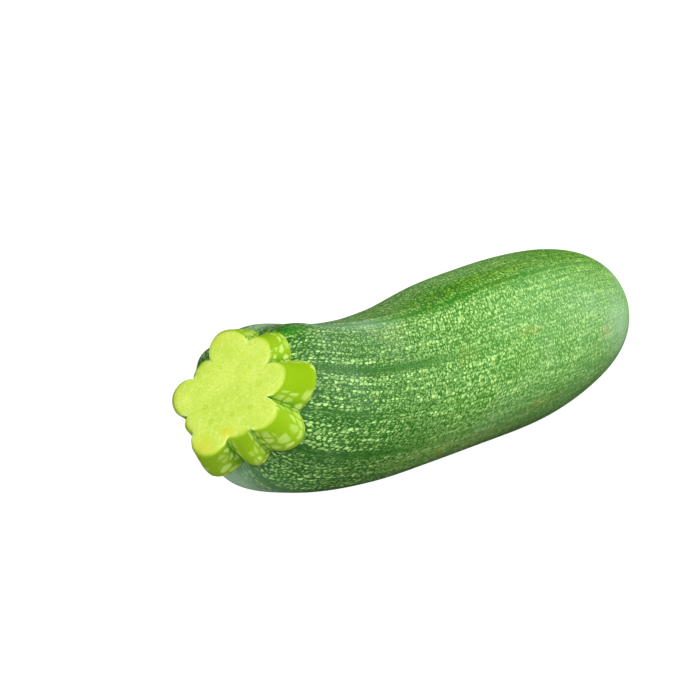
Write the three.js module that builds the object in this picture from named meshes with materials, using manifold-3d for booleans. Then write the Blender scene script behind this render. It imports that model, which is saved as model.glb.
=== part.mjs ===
// A courgette as picked, lying on its belly: the green fruit and the cut stub of its stem.
// Millimetres. +X runs from the stem to the blossom end, +Y to the back as it lies, +Z up.
// Angles round the fruit and the stem go from the back (0) over the top (90) to the front (180).

import * as THREE from "three";
import { mergeVertices } from "three/addons/utils/BufferGeometryUtils.js";
import Module from "manifold-3d";

// The fruit: its length, and its centre line and radius at even steps from stem to blossom end
const FRUIT_LENGTH = 175;
const CENTRE_Y = [6.1, 3.6, 1.7, 0.6, 0.1, -0.8, -1.8, -4.0];
const CENTRE_Z = [31.6, 25.8, 23.3, 23.2, 24.4, 25.0, 26.6, 27.9];
const FRUIT_RADIUS = [22.9, 22.8, 22.9, 23.3, 24.7, 25.1, 24.7, 24.3];
const FRUIT_RINGS = 46;
const FRUIT_SIDES = 72;
const RING_CROWDING = 0.6;

// The shoulder under the stem and the rounding of the blossom end, as shares of the length
const SHOULDER_SHARE = 0.09;
const SHOULDER_START = 0.64;
const BLOSSOM_SHARE = 0.31;
const BLOSSOM_ONSET = 2.2;
const BLOSSOM_BLUNTNESS = 3.42;

// The corky scar that the flower left, a low rim round a shallow dimple
const SCAR_RIM_RADIUS = 5.2;
const SCAR_RIM_WIDTH = 1.8;
const SCAR_DEPTH = 0.9;

// Five soft ridges run the fruit's length and twist slowly round it: angle, height and half width
const RIDGES = [
  [105, 2.0, 15],
  [179, 0.8, 20],
  [251, 0.8, 20],
  [323, 0.8, 20],
  [37, 1.4, 17],
];
const RIDGE_MEAN = 0.5;
const RIDGE_TWIST = 18;
const RIDGE_FADE_SHARE = 0.4;

// The lobes of the stem run on as flutes in the neck, which fade out over this share of the length
const FLUTE_HEIGHT = 0.7;
const FLUTE_SHARE = 0.3;

// How far the belly is pressed flat by its own weight
const BELLY_FLAT = 1.1;

// The stem: where its centre meets the fruit's end, its lean, its length and what lies in the fruit
const STEM_FOOT = [-87.0, 4.4, 32.1];
const STEM_RISE = 34.5;
const STEM_TURN = 6;
const STEM_LENGTH = 8.9;
const STEM_ROOT = 8.5;
const SKIN_GAP = 0.3;

// Its nine lobes and the notches before each of them: angle, reach at the cut, reach at the flange
const LOBES = [
  [29, 12.9, 16.5],
  [67, 18.0, 19.6],
  [110, 16.9, 20.0],
  [152, 16.6, 22.7],
  [200, 16.9, 22.2],
  [239, 13.8, 19.0],
  [279, 19.0, 21.6],
  [309, 15.3, 16.4],
  [346, 17.0, 17.6],
];
const NOTCHES = [
  [10, 11.7, 15.2],
  [43, 11.3, 15.2],
  [93, 14.2, 18.0],
  [134, 11.7, 17.0],
  [182, 10.9, 17.9],
  [226, 13.5, 16.7],
  [256, 13.9, 15.3],
  [298, 15.0, 16.0],
  [320, 13.3, 14.2],
];
const SOFTNESS_AT_CUT = 0.2;
const SOFTNESS_AT_FLANGE = 0.35;
const HALF_LOBE_STEPS = 6;

// Rings down the stem: depth under the cut as a share of its length, spread to the flange, inset
const STEM_RINGS = [
  [0, 0, 0.5],
  [0.05, 0, 0],
  [0.25, 0.25, 0],
  [0.45, 0.55, 0],
  [0.65, 0.85, 0],
  [0.84, 1, 0],
  [1, 1, 0.4],
  [1.15, 1, 1.3],
  [1.32, 1, 2.6],
  [1.52, 1, 4.4],
  [1.8, 1, 7],
];

const SKIN_GREEN = 0x4c9a3a;
const STEM_GREEN = 0xbfdc58;

const wasm = await Module();
wasm.setup();

// One value of a smooth row of values, at a share of its length
function along(values, share) {
  const points = values.map((value, index) => new THREE.Vector2(index, value));
  return new THREE.SplineCurve(points).getPoint(share).y;
}

// The shorter turn from one angle to another, in degrees
function turnBetween(from, to) {
  return THREE.MathUtils.euclideanModulo(to - from + 180, 360) - 180;
}

// The point at a reach and an angle round a curve that runs along +X
function pointRound(curve, share, angle, reach) {
  const tangent = curve.getTangent(share);
  const side = new THREE.Vector3(0, 0, 1).cross(tangent).normalize();
  const up = tangent.clone().cross(side);
  const turn = THREE.MathUtils.degToRad(angle);
  return curve
    .getPoint(share)
    .addScaledVector(side, reach * Math.cos(turn))
    .addScaledVector(up, reach * Math.sin(turn));
}

// Turns a lathed profile into a body round a curve: place gives each ring's and step's point
function bendLathe(profile, steps, place) {
  const geometry = new THREE.LatheGeometry(profile, steps);
  const position = geometry.getAttribute("position");
  const rings = profile.length;
  for (let vertex = 0; vertex < position.count; vertex += 1) {
    const step = Math.floor(vertex / rings) % steps;
    const point = place(vertex % rings, step);
    position.setXYZ(vertex, point.x, point.y, point.z);
  }
  geometry.deleteAttribute("normal");
  geometry.deleteAttribute("uv");
  return mergeVertices(geometry, 0.001);
}

function fruitCurve() {
  const points = CENTRE_Z.map((height, index) => {
    const x = (index / (CENTRE_Z.length - 1) - 0.5) * FRUIT_LENGTH;
    return new THREE.Vector3(x, CENTRE_Y[index], height);
  });
  return new THREE.CatmullRomCurve3(points, false, "catmullrom");
}

// The fruit's round radius: a shoulder at the stem, the belly, and a blunt blossom end
function fruitRadius(share) {
  const intoShoulder = Math.max(0, 1 - share / SHOULDER_SHARE);
  const shoulder = SHOULDER_START + (1 - SHOULDER_START) * Math.sqrt(1 - intoShoulder ** 2);
  const intoBlossom = Math.max(0, 1 - (1 - share) / BLOSSOM_SHARE);
  const blossom = (1 - intoBlossom ** BLOSSOM_ONSET) ** (1 / BLOSSOM_BLUNTNESS);
  return along(FRUIT_RADIUS, share) * shoulder * blossom;
}

function ridgeHeight(share, angle) {
  const fade = THREE.MathUtils.smoothstep((1 - share) / RIDGE_FADE_SHARE, 0, 1);
  const ridges = RIDGES.map(([start, height, halfWidth]) => {
    const off = turnBetween(start + RIDGE_TWIST * share, angle);
    return height * Math.exp(-((off / halfWidth) ** 2));
  });
  return fade * ridges.reduce((sum, height) => sum + height, -RIDGE_MEAN);
}

// The stem's lobes carried on in the neck: high in line with a lobe, low in line with a notch
function fluteHeight(share, angle) {
  const fade = Math.max(0, 1 - share / FLUTE_SHARE) ** 2;
  const turned = angle - RIDGE_TWIST * share;
  const nearest = (list) => Math.min(...list.map(([place]) => Math.abs(turnBetween(turned, place))));
  const toLobe = nearest(LOBES);
  const toNotch = nearest(NOTCHES);
  return FLUTE_HEIGHT * fade * Math.cos((Math.PI * toLobe) / (toLobe + toNotch));
}

// The fruit, grown by an even amount where its skin is to be cut out of the stem
function fruitGeometry(growth) {
  const curve = fruitCurve();
  const profile = [[0, 0]];
  for (let ring = 0; ring < FRUIT_RINGS; ring += 1) {
    const even = ring / FRUIT_RINGS;
    const share = even - (RING_CROWDING * Math.sin(2 * Math.PI * even)) / (2 * Math.PI);
    profile.push([fruitRadius(share), share]);
  }
  const scarFloor = 1 - SCAR_DEPTH / FRUIT_LENGTH;
  profile.push([SCAR_RIM_RADIUS + SCAR_RIM_WIDTH, (1 + scarFloor) / 2]);
  profile.push([SCAR_RIM_RADIUS, 1]);
  profile.push([SCAR_RIM_RADIUS - SCAR_RIM_WIDTH, scarFloor]);
  profile.push([0, scarFloor]);

  const lathed = profile.map(([radius, share]) => new THREE.Vector2(radius, share));
  return bendLathe(lathed, FRUIT_SIDES, (ring, step) => {
    const [radius, share] = profile[ring];
    const angle = (360 * step) / FRUIT_SIDES;
    const relief = ridgeHeight(share, angle) + fluteHeight(share, angle);
    const reach = radius > 0 ? radius + (relief * radius) / FRUIT_RADIUS[0] + growth : 0;
    const point = pointRound(curve, share, angle, reach);
    if (share === 0) point.addScaledVector(curve.getTangent(0), -growth);
    point.z = Math.max(point.z - BELLY_FLAT, 0);
    return point;
  });
}

// From the middle of the cut face, through the foot, into the fruit along its own centre line
function stemCurve() {
  const foot = new THREE.Vector3(...STEM_FOOT);
  foot.z -= BELLY_FLAT;
  const rise = THREE.MathUtils.degToRad(STEM_RISE);
  const turn = THREE.MathUtils.degToRad(STEM_TURN);
  const axis = new THREE.Vector3(
    -Math.cos(turn) * Math.cos(rise),
    -Math.sin(turn) * Math.cos(rise),
    Math.sin(rise),
  );
  const cut = foot.clone().addScaledVector(axis, STEM_LENGTH);
  const root = foot.clone().addScaledVector(fruitCurve().getTangent(0), STEM_ROOT);
  return new THREE.QuadraticBezierCurve3(cut, foot, root);
}

// Each half lobe, from notch to crown or crown to notch, is a quarter ellipse softened to a wave
function lobeOutline(step, spread) {
  const stepsPerLobe = 2 * HALF_LOBE_STEPS;
  const lobe = Math.floor(step / stepsPerLobe);
  const fromNotch = (step % stepsPerLobe) / HALF_LOBE_STEPS;
  const rising = fromNotch < 1;
  const crown = LOBES[lobe];
  const notch = NOTCHES[rising ? lobe : (lobe + 1) % NOTCHES.length];
  const swing = (Math.PI / 2) * Math.abs(1 - fromNotch);
  const ellipse = Math.cos(swing);
  const wave = (1 + Math.cos(Math.PI * Math.sin(swing))) / 2;
  const softness = THREE.MathUtils.lerp(SOFTNESS_AT_CUT, SOFTNESS_AT_FLANGE, spread);
  const crownReach = THREE.MathUtils.lerp(crown[1], crown[2], spread);
  const notchReach = THREE.MathUtils.lerp(notch[1], notch[2], spread);
  return {
    angle: crown[0] + turnBetween(crown[0], notch[0]) * Math.sin(swing),
    reach: THREE.MathUtils.lerp(notchReach, crownReach, THREE.MathUtils.lerp(ellipse, wave, softness)),
  };
}

function stemGeometry() {
  const curve = stemCurve();
  const rings = [[0, 0, Infinity], ...STEM_RINGS, [STEM_RINGS.at(-1)[0], 1, Infinity]];
  const lathed = rings.map(([depth, , inset]) => new THREE.Vector2(inset < Infinity ? 1 : 0, depth));
  const steps = LOBES.length * 2 * HALF_LOBE_STEPS;
  return bendLathe(lathed, steps, (ring, step) => {
    const [depth, spread, inset] = rings[ring];
    const { angle, reach } = lobeOutline(step, spread);
    const share = (depth * STEM_LENGTH) / (STEM_LENGTH + STEM_ROOT);
    return pointRound(curve, share, angle, Math.max(0, reach - inset));
  });
}

function solidOf(geometry) {
  const corners = geometry.index.array;
  const faces = [];
  for (let face = 0; face < corners.length; face += 3) {
    const [a, b, c] = corners.slice(face, face + 3);
    if (a !== b && b !== c && c !== a) faces.push(a, b, c);
  }
  const triVerts = new Uint32Array(faces);
  const vertProperties = geometry.getAttribute("position").array;
  return new wasm.Manifold(new wasm.Mesh({ numProp: 3, vertProperties, triVerts }));
}

function geometryOf(solid) {
  const mesh = solid.getMesh();
  const geometry = new THREE.BufferGeometry();
  geometry.setAttribute("position", new THREE.BufferAttribute(mesh.vertProperties, mesh.numProp));
  geometry.setIndex(new THREE.BufferAttribute(mesh.triVerts, 1));
  return geometry;
}

function named(name, geometry, colour, roughness) {
  const material = new THREE.MeshStandardMaterial({ color: colour, roughness, metalness: 0 });
  const mesh = new THREE.Mesh(geometry, material);
  mesh.name = name;
  return mesh;
}

const fruit = named("fruit", fruitGeometry(0), SKIN_GREEN, 0.38);
const stemSolid = solidOf(stemGeometry()).subtract(solidOf(fruitGeometry(SKIN_GAP)));
const stem = named("stem", geometryOf(stemSolid), STEM_GREEN, 0.5);

// The origin is on the ground, under the middle of the whole courgette
const courgette = new THREE.Group();
courgette.add(fruit, stem);
const box = new THREE.Box3().setFromObject(courgette);
const middle = box.getCenter(new THREE.Vector3());
courgette.position.set(-middle.x, -middle.y, 0);

export default courgette;
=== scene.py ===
# A courgette as picked, lying on its belly on a pale table in soft studio light.
# Metres. +X runs from the stem to the blossom end, +Y to the back as it lies, +Z up.
# Angles round the fruit and the stem go from the back (0) over the top (90) to the front (180).

from math import cos, pi, radians, sin

import bpy
import numpy as np
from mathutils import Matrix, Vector


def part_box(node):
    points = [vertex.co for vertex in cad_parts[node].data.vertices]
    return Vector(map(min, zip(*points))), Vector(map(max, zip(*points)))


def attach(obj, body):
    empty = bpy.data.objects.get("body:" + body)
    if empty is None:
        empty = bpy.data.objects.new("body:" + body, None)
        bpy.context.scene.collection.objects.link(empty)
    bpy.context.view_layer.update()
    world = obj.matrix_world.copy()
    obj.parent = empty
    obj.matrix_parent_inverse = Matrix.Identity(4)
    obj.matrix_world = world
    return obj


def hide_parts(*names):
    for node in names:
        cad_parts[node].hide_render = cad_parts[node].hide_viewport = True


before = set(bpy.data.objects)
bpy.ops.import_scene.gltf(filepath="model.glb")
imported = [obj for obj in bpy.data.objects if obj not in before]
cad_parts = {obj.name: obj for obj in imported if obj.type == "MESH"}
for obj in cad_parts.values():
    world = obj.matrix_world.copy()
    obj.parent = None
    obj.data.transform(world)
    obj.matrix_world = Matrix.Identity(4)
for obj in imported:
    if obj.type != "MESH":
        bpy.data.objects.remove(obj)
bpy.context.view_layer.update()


# The fruit: one body that grew whole, a thin waxy skin over firm flesh. Five soft ridges twist
# slowly round it, the stem's lobes run on as flutes in the neck, and the flower left a corky
# scar on the blunt end. It is cut from the plant with its stem and lies on its own belly.

FRUIT_LENGTH = 0.175
FRUIT_RINGS = 130
FRUIT_SIDES = 180
RING_CROWDING = 0.6

# Centre line and radius at even steps, with one more value past the stem and the blossom end
CENTRE_Y = [0.0086, 0.0061, 0.0036, 0.0017, 0.0006, 0.0001, -0.0008, -0.0018, -0.0040, -0.0062]
CENTRE_Z = [0.0374, 0.0316, 0.0258, 0.0233, 0.0232, 0.0244, 0.0250, 0.0266, 0.0279, 0.0292]
FRUIT_RADIUS = [0.0229, 0.0229, 0.0228, 0.0229, 0.0233, 0.0247, 0.0251, 0.0247, 0.0243, 0.0243]
NECK_RADIUS = FRUIT_RADIUS[0]

SHOULDER_SHARE = 0.09
SHOULDER_START = 0.64
BLOSSOM_SHARE = 0.31
BLOSSOM_ONSET = 2.2
BLOSSOM_BLUNTNESS = 3.42
BELLY_FLAT = 0.0011

# The scar from its outer foot inwards: radius, and how far it lies under the fruit's tip
SCAR_PROFILE = [
    (0.0070, 0.00045),
    (0.0062, 0.00012),
    (0.0054, 0.0),
    (0.0047, 0.00012),
    (0.0041, 0.00045),
    (0.0034, 0.0009),
    (0.0019, 0.0009),
    (0.0014, 0.0005),
    (0.0005, 0.0003),
]

# Ridges: angle at the stem, height and half width
RIDGES = [
    (105, 0.0020, 15),
    (179, 0.0008, 20),
    (251, 0.0008, 20),
    (323, 0.0008, 20),
    (37, 0.0014, 17),
]
RIDGE_MEAN = 0.0005
RIDGE_TWIST = 18
RIDGE_FADE_SHARE = 0.4
FLUTE_HEIGHT = 0.0007
FLUTE_SHARE = 0.3

# The stem's lobes and the notches before each: angle, reach at the cut, reach at the flange
LOBES = [
    (29, 0.0129, 0.0165),
    (67, 0.0180, 0.0196),
    (110, 0.0169, 0.0200),
    (152, 0.0166, 0.0227),
    (200, 0.0169, 0.0222),
    (239, 0.0138, 0.0190),
    (279, 0.0190, 0.0216),
    (309, 0.0153, 0.0164),
    (346, 0.0170, 0.0176),
]
NOTCHES = [
    (10, 0.0117, 0.0152),
    (43, 0.0113, 0.0152),
    (93, 0.0142, 0.0180),
    (134, 0.0117, 0.0170),
    (182, 0.0109, 0.0179),
    (226, 0.0135, 0.0167),
    (256, 0.0139, 0.0153),
    (298, 0.0150, 0.0160),
    (320, 0.0133, 0.0142),
]


def along(stations, share):
    """A smooth row of values at shares of the length."""
    position = np.clip(share, 0, 1) * (len(stations) - 3)
    index = np.minimum(position.astype(int), len(stations) - 4)
    t = position - index
    before, start, end, after = (np.take(stations, index + step) for step in range(4))
    bend = 2 * before - 5 * start + 4 * end - after
    turn = 3 * (start - end) + after - before
    return start + t / 2 * (end - before + t * (bend + t * turn))


def turn_between(start, end):
    """The shorter turn from one angle to another, in degrees."""
    return (end - start + 180) % 360 - 180


def centre_line(share):
    x = (np.clip(share, 0, 1) - 0.5) * FRUIT_LENGTH
    return np.stack([x, along(CENTRE_Y, share), along(CENTRE_Z, share)], axis=-1)


def place_round(line, share, angle, reach):
    """Points at an angle and a reach round a line that runs along +X."""
    tangent = line(share + 0.0001) - line(share - 0.0001)
    tangent /= np.linalg.norm(tangent, axis=-1, keepdims=True)
    side = np.cross([0.0, 0.0, 1.0], tangent)
    side /= np.linalg.norm(side, axis=-1, keepdims=True)
    up = np.cross(tangent, side)
    turn = np.radians(angle)[:, None]
    return line(share) + reach[:, None] * (side * np.cos(turn) + up * np.sin(turn))


def fruit_radius(share):
    """The round radius: a shoulder at the stem, the belly, and a blunt blossom end."""
    into_shoulder = np.maximum(0, 1 - share / SHOULDER_SHARE)
    shoulder = SHOULDER_START + (1 - SHOULDER_START) * np.sqrt(1 - into_shoulder**2)
    into_blossom = np.maximum(0, 1 - (1 - share) / BLOSSOM_SHARE)
    blossom = (1 - into_blossom**BLOSSOM_ONSET) ** (1 / BLOSSOM_BLUNTNESS)
    return along(FRUIT_RADIUS, share) * shoulder * blossom


def ridge_height(share, angle):
    fade = np.clip((1 - share) / RIDGE_FADE_SHARE, 0, 1)
    height = -RIDGE_MEAN
    for start, crest, half_width in RIDGES:
        off = turn_between(start + RIDGE_TWIST * share, angle)
        height = height + crest * np.exp(-((off / half_width) ** 2))
    return fade * fade * (3 - 2 * fade) * height


def flute_height(share, angle):
    """The stem's lobes carried on in the neck: high in line with a lobe, low with a notch."""
    turned = angle - RIDGE_TWIST * share
    to_lobe = np.min([abs(turn_between(lobe[0], turned)) for lobe in LOBES], axis=0)
    to_notch = np.min([abs(turn_between(notch[0], turned)) for notch in NOTCHES], axis=0)
    fade = np.maximum(0, 1 - share / FLUTE_SHARE) ** 2
    return FLUTE_HEIGHT * fade * np.cos(pi * to_lobe / (to_lobe + to_notch))


def extrude_rings(name, sides, profile):
    """A straight body along +X: a filled circle drawn out ring by ring to each (x, radius)."""
    bpy.ops.object.select_all(action="DESELECT")
    start, width = profile[0]
    bpy.ops.mesh.primitive_circle_add(
        vertices=sides,
        radius=width,
        fill_type="TRIFAN",
        location=(start, 0, 0),
        rotation=(0, pi / 2, 0),
    )
    body = bpy.context.object
    body.name = name
    bpy.ops.object.transform_apply()
    bpy.ops.object.mode_set(mode="EDIT")
    for x, radius in profile[1:]:
        bpy.ops.mesh.extrude_region_move(TRANSFORM_OT_translate={"value": (x - start, 0, 0)})
        bpy.ops.transform.resize(value=(1, radius / width, radius / width), center_override=(x, 0, 0))
        start, width = x, radius
    bpy.ops.mesh.select_all(action="SELECT")
    bpy.ops.mesh.normals_make_consistent(inside=False)
    bpy.ops.object.mode_set(mode="OBJECT")
    return body


def corners(body):
    """Every vertex of a body as a row of three numbers."""
    return np.array([vertex.co for vertex in body.data.vertices])


def move_corners(body, points):
    body.data.vertices.foreach_set("co", points.ravel())
    body.data.update()


def add_measure(body, name, values):
    """Keeps one number for each vertex, for the material to read."""
    body.data.attributes.new(name, "FLOAT", "POINT").data.foreach_set("value", values)


even = np.arange(FRUIT_RINGS) / FRUIT_RINGS
shares = even - RING_CROWDING * np.sin(2 * pi * even) / (2 * pi)
fruit_profile = list(zip(shares * FRUIT_LENGTH, fruit_radius(shares)))
fruit_profile += [(FRUIT_LENGTH - under, radius) for radius, under in SCAR_PROFILE]
fruit = extrude_rings("courgette_fruit", FRUIT_SIDES, fruit_profile)

straight = corners(fruit)
share = straight[:, 0] / FRUIT_LENGTH
radius = np.hypot(straight[:, 1], straight[:, 2])
angle = np.degrees(np.arctan2(straight[:, 2], straight[:, 1]))
relief = (ridge_height(share, angle) + flute_height(share, angle)) * radius / NECK_RADIUS
bent = place_round(centre_line, share, angle, radius + relief)
bent[:, 2] = np.maximum(bent[:, 2] - BELLY_FLAT, 0)
solid_low, solid_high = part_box("fruit")
shift = (np.array(solid_low) + np.array(solid_high) - bent.min(axis=0) - bent.max(axis=0)) / 2
shift[2] = 0
move_corners(fruit, bent + shift)

# Rows of flecks run from the stem to the blossom end. The UV map counts them: U is the number
# of flecks along a row, closer together towards the blossom, and V is the number of the row.
# Each row starts a little later than its neighbour, so flecks also line up in slants.
ROW_COUNT = 156
ROW_START_ANGLE = 243
ROW_STAGGER = 0.37
FLECKS_PER_METRE = 450
FLECK_CROWDING = 2400

# Plain stripes without flecks, in line with the lobes: angle, half width, share of the length
PLAIN_STRIPES = [
    (110, 3.5, 0.10),
    (104.5, 1.6, 1.3),
    (142, 3.0, 0.6),
    (173, 1.6, 0.3),
    (203, 3.2, 0.45),
    (243, 3.5, 1.6),
    (279, 3.5, 0.5),
    (309, 3.0, 0.35),
    (346, 3.5, 0.45),
    (29, 4.0, 0.6),
    (67, 4.0, 0.4),
]

# Soft oval spots: angle, share of the length, half width in degrees, half length as a share of
# the fruit's, and strength. Ochre tints are where the skin was rubbed
OCHRE_SPOTS = [
    (106, 0.60, 3.5, 0.03, 1.0),
    (143, 0.60, 3.0, 0.03, 1.0),
    (196, 0.64, 4.0, 0.04, 1.0),
    (160, 0.83, 5.0, 0.02, 1.0),
    (218, 0.40, 9.0, 0.12, 0.8),
    (40, 0.70, 5.0, 0.04, 1.0),
    (320, 0.50, 6.0, 0.05, 1.0),
]

# Painted sheen: whitish reflections painted on top of the neck, under it, and on the body towards the
# tip
PAINTED_SHEEN_SPOTS = [
    (104, 0.20, 5, 0.10, 0.5),
    (80, 0.09, 10, 0.09, 0.55),
    (273, 0.03, 24, 0.08, 1.0),
    (165, 0.90, 26, 0.07, 0.45),
    (130, 0.72, 24, 0.16, 0.15),
    (300, 0.85, 40, 0.08, 0.5),
    (120, 0.975, 30, 0.04, 0.4),
]

# Painted shade in deep green behind the highest ridge, along its crest and over the far end.
# The small spot by the stem is the skin's own deep green, not painted shade.
SHADE_AND_DEEP_GREEN_SPOTS = [
    (91, 0.56, 12, 0.22, 1.0),
    (104.5, 0.50, 2.5, 0.30, 1.0),
    (111, 0.035, 3.5, 0.035, 1.0),
    (86, 0.88, 30, 0.14, 0.95),
]

# At the rounded ends the skin also runs inwards, so the way along it is longer
fullness = along(FRUIT_RADIUS, share) - radius
along_skin = straight[:, 0] + np.sign(share - 0.5) * np.clip(fullness, 0, None)
fleck_number = FLECKS_PER_METRE * along_skin + FLECK_CROWDING * along_skin**2
row_angle = (angle - RIDGE_TWIST * share - ROW_START_ANGLE) % 360
grown_angle = row_angle + ROW_START_ANGLE


def soft_spots(spots):
    """Full strength in the middle of each oval spot of the skin, fading to 0 round it."""
    layers = []
    for spot_angle, spot_share, half_angle, half_share, strength in spots:
        across = turn_between(spot_angle, grown_angle) / half_angle
        lengthwise = (share - spot_share) / half_share
        layers.append(strength * np.exp(-(across**2) - lengthwise**2))
    return np.max(layers, axis=0)


def plain_stripes():
    """1 along the middle of each plain stripe, fading out over the second half of its length."""
    layers = []
    for stripe_angle, half_width, stripe_end in PLAIN_STRIPES:
        across = turn_between(stripe_angle, grown_angle) / half_width
        left = np.clip((stripe_end - share) / (0.5 * stripe_end), 0, 1)
        layers.append(np.exp(-(across**4)) * left)
    return np.max(layers, axis=0)


# The scar is read from the radius, so all that lies before the tip is pushed out of its reach
TIP_SHARE = 0.95
away_from_tip = 10 * np.maximum(0, TIP_SHARE - share)

# Kept for the material: plain stripes, ochre tints, painted sheen, painted shade with the deep green
# spot, and the scar's reach
add_measure(fruit, "length_share", share)
add_measure(fruit, "plain", plain_stripes())
add_measure(fruit, "ochre", soft_spots(OCHRE_SPOTS))
add_measure(fruit, "sheen_and_bloom", soft_spots(PAINTED_SHEEN_SPOTS))
add_measure(fruit, "shade_and_deep_green", soft_spots(SHADE_AND_DEEP_GREEN_SPOTS))
add_measure(fruit, "from_tip", radius + away_from_tip)

rows = fruit.data.uv_layers.new(name="SkinRows")
for face in fruit.data.polygons:
    turns = [row_angle[vertex] for vertex in face.vertices]
    crosses_start = max(turns) - min(turns) > 180
    for loop, vertex, turn in zip(face.loop_indices, face.vertices, turns):
        full_turn = turn + 360 if crosses_start and turn < 180 else turn
        row = full_turn / 360 * ROW_COUNT
        rows.data[loop].uv = (fleck_number[vertex] + ROW_STAGGER * row, row)


def node(tree, kind, inputs, **options):
    """Adds a node with its options, and fills or joins its inputs."""
    made = tree.nodes.new(kind)
    for option, value in options.items():
        setattr(made, option, value)
    for key, value in inputs.items():
        if isinstance(value, bpy.types.NodeSocket):
            tree.links.new(value, made.inputs[key])
        else:
            made.inputs[key].default_value = value
    return made


def measure(tree, name):
    return node(tree, "ShaderNodeAttribute", {}, attribute_name=name).outputs["Fac"]


def noise(tree, vector, scale, detail=2.0):
    inputs = {"Vector": vector, "Scale": scale, "Detail": detail}
    return node(tree, "ShaderNodeTexNoise", inputs).outputs["Fac"]


def maths(tree, operation, *values):
    return node(tree, "ShaderNodeMath", dict(enumerate(values)), operation=operation).outputs[0]


def vector_maths(tree, operation, inputs):
    return node(tree, "ShaderNodeVectorMath", inputs, operation=operation).outputs


def fade_between(tree, value, low, high, start=0.0, end=1.0):
    """Goes smoothly from start to end as the value goes from low to high."""
    inputs = {"Value": value, "From Min": low, "From Max": high, "To Min": start, "To Max": end}
    return node(tree, "ShaderNodeMapRange", inputs, interpolation_type="SMOOTHSTEP").outputs[0]


# A mix node has sockets for numbers, vectors and colours under the same names, so these are
# found by their place
MIX_SHARE = 0
MIX_FIRST_COLOUR = 6
MIX_SECOND_COLOUR = 7
MIXED_COLOUR = 2


def mix_colour(tree, share, first, second):
    inputs = {MIX_SHARE: share, MIX_FIRST_COLOUR: first, MIX_SECOND_COLOUR: second}
    return node(tree, "ShaderNodeMix", inputs, data_type="RGBA").outputs[MIXED_COLOUR]


def paint(red, green, blue):
    """An sRGB colour of 0 to 255 as a shader's linear colour."""
    levels = [level / 255 for level in (red, green, blue)]
    return tuple(v / 12.92 if v <= 0.04045 else ((v + 0.055) / 1.055) ** 2.4 for v in levels) + (1.0,)


def stretch(tree, vector, scale, shift=(0, 0, 0)):
    inputs = {"Vector": vector, "Scale": scale, "Location": shift}
    return node(tree, "ShaderNodeMapping", inputs).outputs[0]


def new_group(name, inputs, outputs):
    """A node group with float or vector inputs and float outputs."""
    group = bpy.data.node_groups.new(name, "ShaderNodeTree")
    for label, kind in inputs.items():
        group.interface.new_socket(label, in_out="INPUT", socket_type=kind)
    for label in outputs:
        group.interface.new_socket(label, in_out="OUTPUT", socket_type="NodeSocketFloat")
    return group, group.nodes.new("NodeGroupInput").outputs, group.nodes.new("NodeGroupOutput").inputs


def placed(tree, group, inputs):
    return node(tree, "ShaderNodeGroup", inputs, node_tree=group).outputs


# Flecks: soft ovals of unlike size and strength, one at most in each cell of the place that is
# given. The place wanders first, so that the rows waver
FLECK_DRIFT = {"Scale": 0.55, "Detail": 4.0, "Roughness": 0.6}
SMALLEST_FLECK = 0.5
FAINTEST_FLECK = 0.35

flecks, given, result = new_group(
    "flecks",
    {
        "Place": "NodeSocketVector",
        "Size": "NodeSocketFloat",
        "Softness": "NodeSocketFloat",
        "Missing": "NodeSocketFloat",
        "Wander": "NodeSocketFloat",
        "Disorder": "NodeSocketFloat",
    },
    ["Fleck"],
)
drift = node(flecks, "ShaderNodeTexNoise", {"Vector": given["Place"], **FLECK_DRIFT}).outputs["Color"]
drift = vector_maths(flecks, "SUBTRACT", {0: drift, 1: (0.5, 0.5, 0.5)})["Vector"]
drift = vector_maths(flecks, "SCALE", {0: drift, "Scale": given["Wander"]})["Vector"]
wandered = vector_maths(flecks, "ADD", {0: given["Place"], 1: drift})["Vector"]
cells = node(
    flecks,
    "ShaderNodeTexVoronoi",
    {"Vector": wandered, "Scale": 1.0, "Randomness": given["Disorder"]},
    voronoi_dimensions="2D",
).outputs
luck = node(flecks, "ShaderNodeSeparateColor", {"Color": cells["Color"]}).outputs
size = maths(flecks, "MULTIPLY", given["Size"], maths(flecks, "ADD", luck["Red"], SMALLEST_FLECK))
edge = maths(flecks, "SUBTRACT", cells["Distance"], size)
inner_edge = maths(flecks, "MULTIPLY", given["Softness"], -1.0)
fleck = fade_between(flecks, edge, given["Softness"], inner_edge)
strength = maths(flecks, "MULTIPLY_ADD", luck["Blue"], 1 - FAINTEST_FLECK, FAINTEST_FLECK)
kept = maths(flecks, "GREATER_THAN", luck["Green"], given["Missing"])
kept = maths(flecks, "MULTIPLY", kept, strength)
flecks.links.new(maths(flecks, "MULTIPLY", fleck, kept), result["Fleck"])

# The ground's green from the stem to the tip, by share of the length
GROUND_GREENS = [
    (0.0, paint(28, 86, 12)),
    (0.3, paint(38, 102, 14)),
    (0.6, paint(60, 130, 22)),
    (1.0, paint(68, 140, 32)),
]
VEIN_GREEN = paint(90, 156, 60)
NECK_FLECK = paint(182, 226, 130)
TIP_FLECK = paint(190, 236, 142)
# Deep green of ground and flecks, for the painted shade and for the skin's own deep spot by the stem
DEEP_AND_SHADED_GREEN = paint(22, 110, 0)
DEEP_AND_SHADED_FLECK = paint(180, 236, 70)
OCHRE = paint(132, 140, 20)
# Whitish colour of the painted sheen and of the faint bloom
SHEEN_AND_BLOOM_WHITE = paint(176, 212, 180)
CORK_BROWN = paint(116, 98, 56)
CORK_BUFF = paint(190, 172, 120)
CORK_RADIUS = 0.0065
CORK_EDGE = 0.002
SKIN_ROUGHNESS = 0.42
CORK_ROUGHNESS = 0.8
WAX_SPECULAR = 0.15

skin = bpy.data.materials.new("courgette_skin")
skin.use_nodes = True
tree = skin.node_tree
shader = tree.nodes["Principled BSDF"]
row_place = node(tree, "ShaderNodeUVMap", {}, uv_map="SkinRows").outputs[0]
length_share = measure(tree, "length_share")
plain_here = measure(tree, "plain")
object_place = node(tree, "ShaderNodeTexCoord", {}).outputs["Object"]

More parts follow.
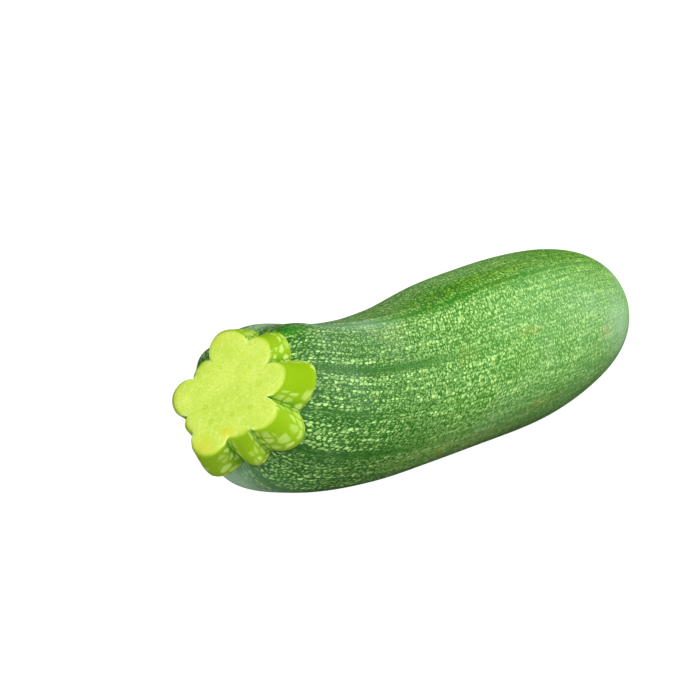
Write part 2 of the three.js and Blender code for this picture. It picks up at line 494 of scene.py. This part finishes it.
# Rich and poor rows: strings two or three rows apart, in broader bands, closing up mid-body
strings = noise(tree, stretch(tree, row_place, (0.03, 0.7, 1)), 1.0, 1.0)
bands = noise(tree, stretch(tree, row_place, (0.012, 0.07, 1)), 1.0, 2.0)
band_lift = maths(tree, "MULTIPLY", maths(tree, "SUBTRACT", bands, 0.5), 0.3)
richness = maths(tree, "ADD", strings, band_lift)
richness = maths(tree, "ADD", richness, fade_between(tree, length_share, 0.15, 0.6, -0.01, 0.02))

# Coarse flecks and a few big blobs make the strings. Fine flecks lie between them at the neck,
# and short dashes over the body
coarse = placed(tree, flecks, {
    "Place": stretch(tree, row_place, (0.85, 0.85, 1)),
    "Size": fade_between(tree, richness, 0.42, 0.58, 0.05, 0.305),
    "Softness": 0.1,
    "Missing": fade_between(tree, richness, 0.4, 0.54, 0.6, 0.05),
    "Wander": 0.7,
    "Disorder": fade_between(tree, length_share, 0.05, 0.5, 0.5, 0.8),
})["Fleck"]
fine = placed(tree, flecks, {
    "Place": stretch(tree, row_place, (1.4, 1.55, 1), (3.3, 0.0, 0)),
    "Size": 0.29,
    "Softness": 0.16,
    "Missing": 0.25,
    "Wander": 0.7,
    "Disorder": 0.8,
})["Fleck"]
dashes = placed(tree, flecks, {
    "Place": stretch(tree, row_place, (1.6, 0.95, 1), (0.0, 5.1, 0)),
    "Size": 0.3,
    "Softness": 0.18,
    "Missing": 0.08,
    "Wander": 1.2,
    "Disorder": 0.7,
})["Fleck"]
blobs = placed(tree, flecks, {
    "Place": stretch(tree, row_place, (0.45, 0.42, 1), (1.7, 0.0, 0)),
    "Size": 0.17,
    "Softness": 0.1,
    "Missing": fade_between(tree, strings, 0.5, 0.65, 1.0, 0.86),
    "Wander": 1.2,
    "Disorder": 0.9,
})["Fleck"]
coarse = maths(tree, "MULTIPLY", coarse, fade_between(tree, length_share, 0.3, 1.0, 1.0, 0.85))
coarse = maths(tree, "MAXIMUM", coarse, blobs)
coarse = maths(tree, "MULTIPLY", coarse, maths(tree, "SUBTRACT", 1.0, plain_here))
fine = maths(tree, "MULTIPLY", fine, fade_between(tree, length_share, 0.2, 0.45, 0.7, 0.2))
dashes = maths(tree, "MULTIPLY", dashes, fade_between(tree, length_share, 0.15, 0.4, 0.1, 0.85))
fine = maths(tree, "MAXIMUM", fine, dashes)
fine = maths(tree, "MULTIPLY", fine, fade_between(tree, plain_here, 0.0, 1.0, 1.0, 0.25))
pale = maths(tree, "MAXIMUM", coarse, fine)

ground = node(tree, "ShaderNodeValToRGB", {"Fac": length_share})
ramp = ground.color_ramp
ramp.elements[0].color = GROUND_GREENS[0][1]
ramp.elements[1].color = GROUND_GREENS[-1][1]
for position, green in GROUND_GREENS[1:-1]:
    ramp.elements.new(position).color = green
ground = ground.outputs["Color"]
veins = noise(tree, stretch(tree, row_place, (0.1, 1.9, 1)), 1.0, 2.0)
ground = mix_colour(tree, fade_between(tree, veins, 0.5, 0.68, 0.0, 0.22), ground, VEIN_GREEN)
pale_colour = mix_colour(tree, length_share, NECK_FLECK, TIP_FLECK)
# Painted shade: ground and flecks turn deep green behind the ridge, on its crest and over the far end,
# and at the own deep spot by the stem
shade_and_deep_green = measure(tree, "shade_and_deep_green")
ground = mix_colour(tree, shade_and_deep_green, ground, DEEP_AND_SHADED_GREEN)
pale_colour = mix_colour(tree, shade_and_deep_green, pale_colour, DEEP_AND_SHADED_FLECK)

# Ochre tints the ground in patches. The painted sheen, with faint whitish bloom in clouds, lies
# over ground and flecks, but not on the painted shade and deep green
patches = noise(tree, object_place, 60.0)
ochre_patches = fade_between(tree, patches, 0.35, 0.6, 0.1, 0.8)
ochre = maths(tree, "MULTIPLY", measure(tree, "ochre"), ochre_patches)
ochre = maths(tree, "ADD", ochre, fade_between(tree, patches, 0.6, 0.8, 0.0, 0.25))
ground = mix_colour(tree, ochre, ground, OCHRE)
colour = mix_colour(tree, pale, ground, pale_colour)
clouds = noise(tree, object_place, 28.0)
sheen_patches = fade_between(tree, patches, 0.35, 0.65, 0.6, 1.0)
sheen_and_bloom = maths(tree, "MULTIPLY", measure(tree, "sheen_and_bloom"), sheen_patches)
sheen_and_bloom = maths(tree, "ADD", sheen_and_bloom, fade_between(tree, clouds, 0.45, 0.75, 0.0, 0.1))
sheen_and_bloom = maths(tree, "MULTIPLY", sheen_and_bloom, maths(tree, "SUBTRACT", 1.0, shade_and_deep_green))
colour = mix_colour(tree, sheen_and_bloom, colour, SHEEN_AND_BLOOM_WHITE)

# The corky scar has a ragged edge and a dull, grainy face
from_tip = maths(tree, "ADD", measure(tree, "from_tip"), maths(tree, "MULTIPLY", patches, CORK_EDGE))
cork = fade_between(tree, from_tip, CORK_RADIUS, CORK_RADIUS + CORK_EDGE, 1.0, 0.0)
cork_colour = mix_colour(tree, noise(tree, object_place, 700.0), CORK_BROWN, CORK_BUFF)
colour = mix_colour(tree, cork, colour, cork_colour)
roughness = fade_between(tree, cork, 0.0, 1.0, SKIN_ROUGHNESS, CORK_ROUGHNESS)
tree.links.new(colour, shader.inputs["Base Color"])
tree.links.new(roughness, shader.inputs["Roughness"])
shader.inputs["Specular IOR Level"].default_value = WAX_SPECULAR
grain = noise(tree, object_place, 900.0, 3.0)
height = maths(tree, "ADD", maths(tree, "MULTIPLY", grain, 0.5), maths(tree, "MULTIPLY", pale, 0.35))
bump = node(tree, "ShaderNodeBump", {"Height": height, "Strength": 0.35, "Distance": 0.00012})
tree.links.new(bump.outputs[0], shader.inputs["Normal"])

fruit.data.materials.append(skin)
fruit.data.shade_smooth()
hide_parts("fruit")
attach(fruit, "root")


# The stem: a stub of the plant's stalk, nine lobes round a flat cut, pale and moist where the
# knife went through. It flares to a flange that clasps the fruit's shoulder, where both grew.

STEM_FOOT = Vector((-0.0870, 0.0044, 0.0321 - BELLY_FLAT))
STEM_RISE = radians(34.5)
STEM_TURN = radians(6)
STEM_LENGTH = 0.0089
STEM_ROOT = 0.0085
HALF_LOBE_STEPS = 12
FLANGE_DEPTH = 0.84

# Lobes are round at the cut and narrower towards the flange, where their valleys are wide. The
# power draws a lobe in, and the bend says how soon under the cut that starts
CROWN_POWER_AT_CUT = 1.25
CROWN_POWER_AT_FLANGE = 2.6
CROWN_POWER_BEND = 0.7

# The cut's edge is rounder on the crowns than in the notches, down to this depth
CROWN_ROUNDING = 3.0
ROUNDED_DEPTH = 0.5

# Rings from the middle of the cut face to the root: depth under the cut as a share of the
# length, spread to the flange, how far the ring lies inside the outline, share of the outline
STEM_RINGS = [
    (0.000, 0.00, 0.0, 0.15),
    (0.000, 0.00, 0.0, 0.40),
    (0.000, 0.00, 0.0, 0.60),
    (0.000, 0.00, 0.0, 0.74),
    (0.000, 0.00, 0.0006, 1.0),
    (0.015, 0.00, 0.0003, 1.0),
    (0.045, 0.00, 0.0001, 1.0),
    (0.090, 0.04, 0.0, 1.0),
    (0.135, 0.10, 0.0, 1.0),
    (0.190, 0.17, 0.0, 1.0),
    (0.270, 0.28, 0.0, 1.0),
    (0.360, 0.42, 0.0, 1.0),
    (0.450, 0.55, 0.0, 1.0),
    (0.550, 0.71, 0.0, 1.0),
    (0.650, 0.85, 0.0, 1.0),
    (0.750, 0.95, 0.0, 1.0),
    (FLANGE_DEPTH, 1.00, 0.0, 1.0),
    (0.920, 1.00, 0.00015, 1.0),
    (1.000, 1.00, 0.0004, 1.0),
    (1.080, 1.00, 0.0008, 1.0),
    (1.150, 1.00, 0.0013, 1.0),
    (1.320, 1.00, 0.0026, 1.0),
    (1.520, 1.00, 0.0044, 1.0),
    (1.800, 1.00, 0.0070, 1.0),
]

stem_axis = Vector((
    -cos(STEM_TURN) * cos(STEM_RISE),
    -sin(STEM_TURN) * cos(STEM_RISE),
    sin(STEM_RISE),
))
stem_cut = STEM_FOOT + STEM_LENGTH * stem_axis
fruit_start = centre_line(np.array([0.0, 0.0001]))
into_fruit = Vector(fruit_start[1] - fruit_start[0]).normalized()
stem_root = STEM_FOOT + STEM_ROOT * into_fruit


def stem_line(share):
    """From the middle of the cut, past the foot, into the fruit along its own centre line."""
    t = np.clip(share, 0, 1)[:, None]
    ends = (1 - t) ** 2 * np.array(stem_cut) + t**2 * np.array(stem_root)
    return ends + 2 * t * (1 - t) * np.array(STEM_FOOT)


def lobe_outline(step, spread, depth):
    """Angle, reach and share of the way from notch to crown, for a step round the outline."""
    lobe = (step // (2 * HALF_LOBE_STEPS)) % len(LOBES)
    from_notch = (step % (2 * HALF_LOBE_STEPS)) / HALF_LOBE_STEPS
    before_crown = from_notch < 1
    crown = np.array(LOBES)[lobe]
    notch = np.array(NOTCHES)[np.where(before_crown, lobe, (lobe + 1) % len(LOBES))]
    swing = pi / 2 * np.abs(1 - from_notch)
    down = np.clip(depth / FLANGE_DEPTH, 0, 1)
    drawn_in = down**CROWN_POWER_BEND
    power = CROWN_POWER_AT_CUT + (CROWN_POWER_AT_FLANGE - CROWN_POWER_AT_CUT) * drawn_in
    crown_share = np.maximum(0, np.cos(swing)) ** power
    crown_reach = crown[:, 1] + (crown[:, 2] - crown[:, 1]) * spread
    notch_reach = notch[:, 1] + (notch[:, 2] - notch[:, 1]) * down
    outline_angle = crown[:, 0] + turn_between(crown[:, 0], notch[:, 0]) * np.sin(swing)
    return outline_angle, notch_reach + (crown_reach - notch_reach) * crown_share, crown_share


# The straight body only counts its rings and steps, which the real places are worked out from
RING_STEP = 0.001
stem_profile = [(RING_STEP * ring, fill) for ring, (_, _, _, fill) in enumerate(STEM_RINGS)]
stem_sides = len(LOBES) * 2 * HALF_LOBE_STEPS
stem = extrude_rings("courgette_stem", stem_sides, stem_profile)

straight = corners(stem)
ring_number = np.rint(straight[:, 0] / RING_STEP).astype(int)
depth, spread, inset, _ = np.array(STEM_RINGS)[ring_number].T
fill = np.hypot(straight[:, 1], straight[:, 2])
turn_share = np.arctan2(straight[:, 2], straight[:, 1]) / (2 * pi)
step = np.rint(turn_share * stem_sides).astype(int) % stem_sides
outline_angle, reach, crown_share = lobe_outline(step, spread, depth)
rounding = 1 + CROWN_ROUNDING * crown_share * (depth < ROUNDED_DEPTH)
reach = np.maximum(0, reach - inset * rounding) * fill
curve_share = depth * STEM_LENGTH / (STEM_LENGTH + STEM_ROOT)
move_corners(stem, place_round(stem_line, curve_share, outline_angle, reach) + shift)
add_measure(stem, "depth", depth)
add_measure(stem, "crown", crown_share * fill)
add_measure(stem, "fill", np.where(depth > 0, 1.0, fill))

# The rind's map counts its pale mottles: U round the stem, V from the cut to the flange
MOTTLES_ROUND = 70
MOTTLES_DOWN = 4.0
rind_map = stem.data.uv_layers.new(name="StemRind")
for face in stem.data.polygons:
    steps = [step[vertex] for vertex in face.vertices]
    crosses_start = max(steps) - min(steps) > stem_sides / 2
    for loop, vertex, place in zip(face.loop_indices, face.vertices, steps):
        full_step = place + stem_sides if crosses_start and place < stem_sides / 2 else place
        rind_map.data[loop].uv = (full_step / stem_sides * MOTTLES_ROUND, depth[vertex] * MOTTLES_DOWN)

# Yellow to ochre tints where the cut dries: angle, reach, half width, strength
CUT_TINTS = [
    (256, 0.0120, 0.0018, 0.7),
    (279, 0.0165, 0.0028, 0.5),
    (346, 0.0175, 0.0024, 0.5),
    (60, 0.0170, 0.0030, 0.3),
]

# The bundles that carried sap show as faint rings on the cut, one for each lobe
BUNDLE_TURN = 7.0
BUNDLE_SHARE = 0.5
BUNDLE_RADIUS = 0.0005
BUNDLE_GREEN = paint(150, 196, 40)

CUT_PALE = paint(202, 224, 96)
CUT_GREEN = paint(186, 214, 80)
CUT_BLOTCH = paint(214, 230, 130)
CUT_SPECKLE = paint(184, 208, 60)
CUT_OCHRE = paint(204, 200, 40)
# Pale colour of the painted highlight along the cut's edge
CUT_EDGE_HIGHLIGHT = paint(222, 240, 156)
VALLEY_GREEN = paint(92, 146, 0)
CREST_GREEN = paint(132, 172, 0)
MOTTLE_PALE = paint(180, 210, 98)
STEM_ROUGHNESS = 0.5
STEM_SPECULAR = 0.2


def on_cut(point_angle, point_reach):
    """A point of the cut face, at an angle and a reach from its middle."""
    point = place_round(stem_line, np.zeros(1), np.array([point_angle]), np.array([point_reach]))[0]
    return tuple(point + shift)


def distance_from(tree, place, point):
    return vector_maths(tree, "DISTANCE", {0: place, 1: point})["Value"]


rind = bpy.data.materials.new("courgette_stem")
rind.use_nodes = True
tree = rind.node_tree
shader = tree.nodes["Principled BSDF"]
stem_place = node(tree, "ShaderNodeTexCoord", {}).outputs["Object"]
stem_depth = measure(tree, "depth")
toward_crown = measure(tree, "crown")
speckle = noise(tree, stem_place, 2200.0, 3.0)
clouds = noise(tree, stem_place, 110.0)

# The rind starts just under the cut's edge, a little lower on the crowns, along a ragged line
rind_start = maths(tree, "MULTIPLY", fade_between(tree, toward_crown, 0.5, 1.0, 0.03, 0.05), clouds)
cut_face = fade_between(tree, maths(tree, "DIVIDE", stem_depth, rind_start), 0.3, 2.6, 1.0, 0.0)

# The cut: moist flesh, sandy with pale blotches and green speckles, with the bundles' rings,
# the tints and a painted highlight along the cut's edge in the notches
blotches = noise(tree, stem_place, 900.0)
blotched = fade_between(tree, blotches, 0.5, 0.7, 0.0, 0.5)
speckled = fade_between(tree, speckle, 0.5, 0.66, 0.0, 0.9)
cut_colour = mix_colour(tree, fade_between(tree, clouds, 0.35, 0.65), CUT_PALE, CUT_GREEN)
cut_colour = mix_colour(tree, blotched, cut_colour, CUT_BLOTCH)
cut_colour = mix_colour(tree, speckled, cut_colour, CUT_SPECKLE)
for lobe_angle, lobe_reach, _ in LOBES:
    bundle = on_cut(lobe_angle + BUNDLE_TURN, lobe_reach * BUNDLE_SHARE)
    from_ring = maths(tree, "SUBTRACT", distance_from(tree, stem_place, bundle), BUNDLE_RADIUS)
    ring = fade_between(tree, maths(tree, "ABSOLUTE", from_ring), 0.0001, 0.0005, 0.45, 0.0)
    ring = maths(tree, "MULTIPLY", ring, fade_between(tree, clouds, 0.35, 0.55))
    cut_colour = mix_colour(tree, ring, cut_colour, BUNDLE_GREEN)
for tint_angle, tint_reach, half_width, strength in CUT_TINTS:
    away = distance_from(tree, stem_place, on_cut(tint_angle, tint_reach))
    tint = fade_between(tree, away, 0.2 * half_width, 1.6 * half_width, strength, 0.0)
    cut_colour = mix_colour(tree, tint, cut_colour, CUT_OCHRE)
# Painted highlight along the cut's edge, strongest in the notches and none on the crowns
edge_highlight = fade_between(tree, measure(tree, "fill"), 0.98, 1.0)
edge_highlight = maths(tree, "MULTIPLY", edge_highlight, fade_between(tree, toward_crown, 0.2, 0.7, 0.6, 0.0))
cut_colour = mix_colour(tree, edge_highlight, cut_colour, CUT_EDGE_HIGHLIGHT)

# The rind: green, with pale mottles that are set apart by a net and leave the crests bare
rind_place = node(tree, "ShaderNodeUVMap", {}, uv_map="StemRind").outputs[0]
drift = node(tree, "ShaderNodeTexNoise", {"Vector": rind_place, "Scale": 0.8, "Detail": 2.0})
drift = drift.outputs["Color"]
rind_place = vector_maths(tree, "MULTIPLY_ADD", {0: drift, 1: (0.9, 0.9, 0), 2: rind_place})["Vector"]
mottle_cells = {"Vector": rind_place, "Scale": 1.0, "Randomness": 0.6}
ovals = node(tree, "ShaderNodeTexVoronoi", mottle_cells, voronoi_dimensions="2D").outputs
luck = node(tree, "ShaderNodeSeparateColor", {"Color": ovals["Color"]}).outputs
net = node(
    tree,
    "ShaderNodeTexVoronoi",
    mottle_cells,
    voronoi_dimensions="2D",
    feature="DISTANCE_TO_EDGE",
).outputs["Distance"]
oval = fade_between(tree, ovals["Distance"], 0.64, 0.28)
oval = maths(tree, "MULTIPLY", oval, fade_between(tree, net, 0.0, 0.24))
crest_bare = fade_between(tree, toward_crown, 0.55, 0.9, 0.05, 0.97)
crest_bare = maths(tree, "MULTIPLY", crest_bare, fade_between(tree, stem_depth, 0.3, 0.7, 1.0, 0.3))
oval = maths(tree, "MULTIPLY", oval, maths(tree, "GREATER_THAN", luck["Green"], crest_bare))
oval = maths(tree, "MULTIPLY", oval, fade_between(tree, luck["Red"], 0.0, 1.0, 0.5, 1.0))
up_crest = fade_between(tree, toward_crown, 0.0, 0.5)
rind_green = mix_colour(tree, up_crest, VALLEY_GREEN, CREST_GREEN)
side_colour = mix_colour(tree, oval, rind_green, MOTTLE_PALE)
tree.links.new(mix_colour(tree, cut_face, side_colour, cut_colour), shader.inputs["Base Color"])
shader.inputs["Roughness"].default_value = STEM_ROUGHNESS
shader.inputs["Specular IOR Level"].default_value = STEM_SPECULAR
stem_bump = node(tree, "ShaderNodeBump", {"Height": speckle, "Strength": 0.3, "Distance": 0.0001})
tree.links.new(stem_bump.outputs[0], shader.inputs["Normal"])

stem.data.materials.append(rind)
stem.data.shade_smooth()
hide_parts("stem")
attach(stem, "root")


# The studio, which is no part of the courgette: a plain table top that the camera sees as pure
# white, soft light from the front and the left, and a long lens at the photograph's angle.
# The table's far side throws back less light, so that the fruit's right end stays dark below.

TABLE_RADIUS = 0.45
TABLE_MIDDLE = (-0.2, -0.2, 0)
TABLE_GREY = 0.62
FAR_TABLE_GREY = 0.08
FAR_SIDE = (0.6, 0.8, 0)
TABLE_DIMMED_IN_GLOSS = 0.8
TABLE_OWN_LIGHT = 0.3

bpy.ops.object.select_all(action="DESELECT")
bpy.ops.mesh.primitive_circle_add(
    vertices=96,
    radius=TABLE_RADIUS,
    fill_type="NGON",
    location=TABLE_MIDDLE,
)
table = bpy.context.object
table.name = "table_top"
table_paint = bpy.data.materials.new("table_top")
table_paint.use_nodes = True
tree = table_paint.node_tree
shader = tree.nodes["Principled BSDF"]
table_place = node(tree, "ShaderNodeTexCoord", {}).outputs["Object"]
toward_far = vector_maths(tree, "DOT_PRODUCT", {0: table_place, 1: FAR_SIDE})["Value"]
shade = fade_between(tree, toward_far, 0.2, 0.32, TABLE_GREY, FAR_TABLE_GREY)
ray = node(tree, "ShaderNodeLightPath", {}).outputs
dimmed = maths(tree, "MULTIPLY", ray["Is Glossy Ray"], TABLE_DIMMED_IN_GLOSS)
shade = maths(tree, "MULTIPLY", shade, maths(tree, "SUBTRACT", 1.0, dimmed))
tree.links.new(shade, shader.inputs["Base Color"])
shader.inputs["Roughness"].default_value = 1.0
shader.inputs["Emission Color"].default_value = (1, 1, 1, 1)
own_light = maths(tree, "MULTIPLY", shade, TABLE_OWN_LIGHT)
own_light = maths(tree, "MAXIMUM", ray["Is Camera Ray"], own_light)
tree.links.new(own_light, shader.inputs["Emission Strength"])
table.data.materials.append(table_paint)

BRIGHT_SIDE = Vector((0.5, -0.8, 0.25)).normalized()
DIM_GLOW = 0.14
BRIGHT_GLOW = 1.3
BACKDROP = 1.2

world = bpy.data.worlds.new("studio")
bpy.context.scene.world = world
world.use_nodes = True
tree = world.node_tree
sky = tree.nodes["Background"]
direction = node(tree, "ShaderNodeTexCoord", {}).outputs["Generated"]
facing = vector_maths(tree, "DOT_PRODUCT", {0: direction, 1: BRIGHT_SIDE})["Value"]
glow = fade_between(tree, facing, 0.1, 0.95, DIM_GLOW, BRIGHT_GLOW)
seen = node(tree, "ShaderNodeLightPath", {}).outputs["Is Camera Ray"]
backdrop = maths(tree, "MULTIPLY", seen, BACKDROP)
tree.links.new(maths(tree, "MAXIMUM", glow, backdrop), sky.inputs["Strength"])
sky.inputs["Color"].default_value = (1, 1, 1, 1)


LAMP_SIZE = (0.7, 0.6)
LAMP_TARGET = Vector((0, 0, 0.02))


def softbox(name, place, power):
    """A wide lamp that faces the courgette and isn't mirrored in its skin."""
    light = bpy.data.lights.new(name, "AREA")
    light.energy = power
    light.shape = "RECTANGLE"
    light.size, light.size_y = LAMP_SIZE
    lamp = bpy.data.objects.new(name, light)
    bpy.context.scene.collection.objects.link(lamp)
    lamp.visible_glossy = False
    lamp.location = place
    lamp.rotation_euler = (LAMP_TARGET - Vector(place)).to_track_quat("-Z", "Y").to_euler()


softbox("key", place=(-0.1, -1.0, 0.9), power=9)
softbox("fill", place=(-1.1, -0.1, 0.7), power=9.5)

# The camera's angle and aim are fitted to the photograph's outline, its distance is a guess
CAMERA_AZIMUTH = radians(-56.34)
CAMERA_ELEVATION = radians(13.16)
CAMERA_DISTANCE = 0.9
CAMERA_TARGET = Vector((-0.03443, -0.00058, 0.03737))
CAMERA_LENS = 169.5

toward_camera = Vector((
    sin(CAMERA_AZIMUTH) * cos(CAMERA_ELEVATION),
    -cos(CAMERA_AZIMUTH) * cos(CAMERA_ELEVATION),
    sin(CAMERA_ELEVATION),
))
camera = bpy.data.objects.new("camera", bpy.data.cameras.new("camera"))
bpy.context.scene.collection.objects.link(camera)
camera.location = CAMERA_TARGET + CAMERA_DISTANCE * toward_camera
camera.rotation_euler = (-toward_camera).to_track_quat("-Z", "Y").to_euler()
camera.data.lens = CAMERA_LENS
bpy.context.scene.camera = camera
bpy.context.scene.view_settings.view_transform = "Standard"
